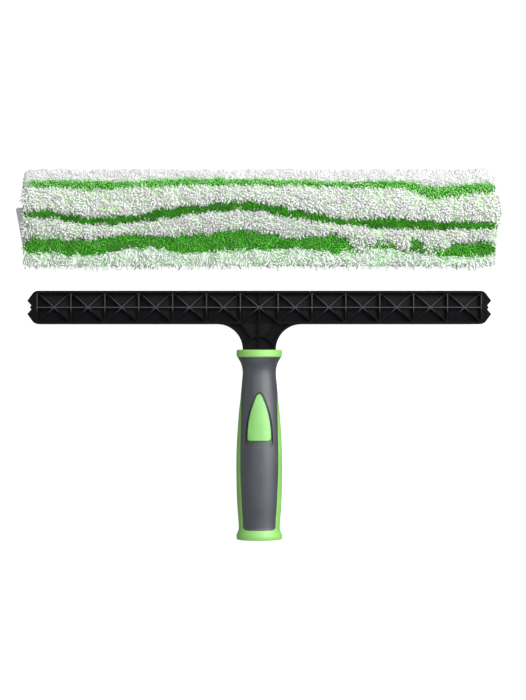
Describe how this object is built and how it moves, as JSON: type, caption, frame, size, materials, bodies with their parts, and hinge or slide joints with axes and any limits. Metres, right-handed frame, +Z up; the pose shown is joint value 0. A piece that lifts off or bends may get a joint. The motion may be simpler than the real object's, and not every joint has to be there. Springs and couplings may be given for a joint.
{
  "type": "window strip washer",
  "caption": "Window strip washer: ribbed T-bar with soft-grip handle, sprung pole release button and a loose striped microfibre sleeve lying above the bar, ready to pull on.",
  "frame": {"origin": "centre of the bounding box in plan, on the flat surface the washer lies on", "axes": "+X along the bar, +Y from the butt of the handle towards the sleeve, +Z up, the side of the release button"},
  "size_m": [0.3692, 0.2815, 0.0316],
  "materials": {
    "black_nylon": "moulded glass-filled nylon, satin",
    "grey_soft_grip": "soft-touch overmould, fine grain",
    "green_plastic": "moulded, semi-gloss",
    "button_plastic": "moulded, semi-gloss",
    "pin_steel": "ground stainless steel",
    "white_pile": "tufted microfibre pile",
    "green_pile": "short velvety scrub pile",
    "backing_cloth": "woven polyester backing",
    "hem_binding": "folded binding tape, stitched",
    "hook_tape": "hook side of fastening tape",
    "loop_tape": "loop side of fastening tape",
    "tab_cloth": "smooth woven tab"
  },
  "bodies": {
    "frame": {"t_bar": "black_nylon", "neck_collar": "green_plastic", "tang_pin": "pin_steel", "handle_core": "green_plastic", "grip_overmould": "grey_soft_grip", "lever_pivot_pin": "pin_steel", "return_spring": "pin_steel"},
    "release_lever": {"release_button": "button_plastic", "lock_plunger": "button_plastic"},
    "sleeve": {"sleeve_backing": "backing_cloth", "left_end_panel": "backing_cloth", "right_end_panel": "backing_cloth", "front_hem": "hem_binding", "back_hem": "hem_binding", "left_hook_tape": "hook_tape", "right_hook_tape": "hook_tape", "left_loop_tape": "loop_tape", "right_loop_tape": "loop_tape", "left_pull_tab": "tab_cloth", "right_pull_tab": "tab_cloth", "top_white_band": "white_pile", "front_upper_green_stripe": "green_pile", "front_upper_white_band": "white_pile", "front_middle_green_stripe": "green_pile", "front_middle_white_band": "white_pile", "front_lower_green_stripe": "green_pile", "front_lower_white_band": "white_pile", "back_upper_green_stripe": "green_pile", "back_upper_white_band": "white_pile", "back_middle_green_stripe": "green_pile", "back_middle_white_band": "white_pile", "back_lower_green_stripe": "green_pile", "back_lower_white_band": "white_pile"}
  },
  "joints": [
    {"name": "button_press", "type": "hinge", "parent": "frame", "child": "release_lever", "pos_m": [0, -0.03735, 0.0223], "axis": [1, 0, 0], "range_deg": [0, 4.5], "stiffness_Nm_per_rad": 0.24, "springref_deg": -4.01, "deforming": ["return_spring"]},
    {"name": "sleeve_pull", "type": "slide", "parent": "frame", "child": "sleeve", "axis": [0, 1, 0], "range_m": [-0.0625, 0]}
  ]
}
